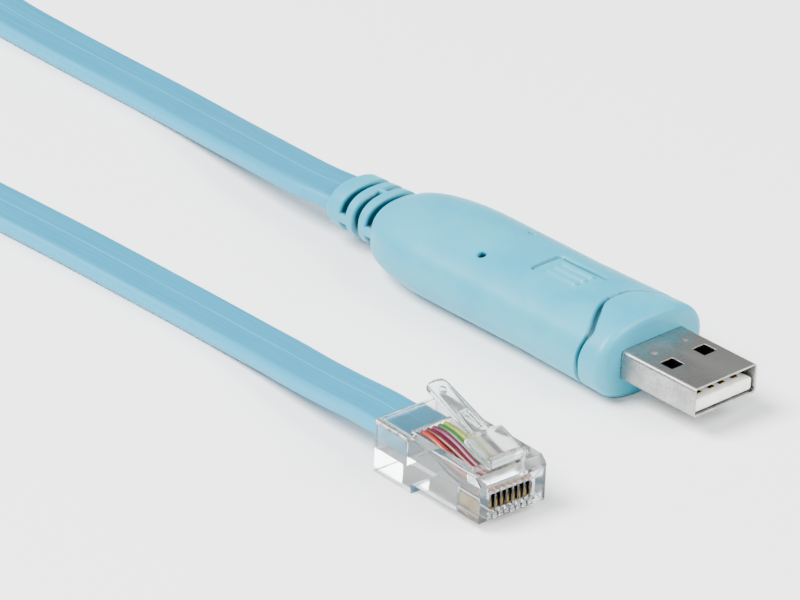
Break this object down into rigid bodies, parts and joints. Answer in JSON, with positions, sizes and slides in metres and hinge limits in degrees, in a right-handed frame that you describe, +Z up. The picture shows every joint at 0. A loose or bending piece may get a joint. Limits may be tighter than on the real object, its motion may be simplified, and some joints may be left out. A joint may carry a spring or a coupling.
{
  "type": "usb to modular plug console cable",
  "caption": "Console cable with a moulded USB plug and slotted strain relief, a flat cable folded into a tied hank, and a clear modular plug with a spring latch.",
  "frame": {"origin": "bottom centre of the moulded USB plug, shell and strain relief included, on the surface that it lies on", "axes": "+X the way the USB plug points, +Z up, +Y across the plug towards its far side; the cable runs back towards -X and the modular plug lies beside it at -Y"},
  "size_m": [0.2956, 0.0592, 0.0198],
  "materials": {
    "blue_moulding": "satin light blue moulded vinyl",
    "plated_steel": "fine-brushed nickel plate",
    "white_insulator": "satin white moulded",
    "gold_contact": "gold plated, bright",
    "cable_jacket": "satin light blue extruded vinyl",
    "black_tie": "woven hook and loop strap",
    "clear_plastic": "clear glossy polycarbonate",
    "wire_grey": "satin",
    "wire_orange": "satin",
    "wire_red": "satin",
    "wire_magenta": "satin",
    "wire_green": "satin",
    "wire_lime": "satin",
    "wire_white": "satin",
    "wire_black": "satin"
  },
  "bodies": {
    "cable": {"usb_housing": "blue_moulding", "usb_shell": "plated_steel", "usb_tongue": "white_insulator", "usb_contact_1": "gold_contact", "usb_contact_2": "gold_contact", "usb_contact_3": "gold_contact", "usb_contact_4": "gold_contact", "cable_from_usb": "cable_jacket", "cable_to_plug": "cable_jacket", "cable_hank": "cable_jacket", "hank_tie_1": "black_tie", "hank_tie_2": "black_tie", "plug_body": "clear_plastic", "plug_contact_1": "gold_contact", "plug_contact_2": "gold_contact", "plug_contact_3": "gold_contact", "plug_contact_4": "gold_contact", "plug_contact_5": "gold_contact", "plug_contact_6": "gold_contact", "plug_contact_7": "gold_contact", "plug_contact_8": "gold_contact", "plug_wire_1": "wire_grey", "plug_wire_2": "wire_orange", "plug_wire_3": "wire_red", "plug_wire_4": "wire_magenta", "plug_wire_5": "wire_green", "plug_wire_6": "wire_lime", "plug_wire_7": "wire_white", "plug_wire_8": "wire_black"},
    "latch": {"plug_latch": "clear_plastic"}
  },
  "joints": [
    {"name": "latch_press", "type": "hinge", "parent": "cable", "child": "latch", "pos_m": [0.03575, -0.04065, 0.0088], "axis": [-0.053, -0.9986, 0], "range_deg": [0, 13], "stiffness_Nm_per_rad": 0.05}
  ]
}
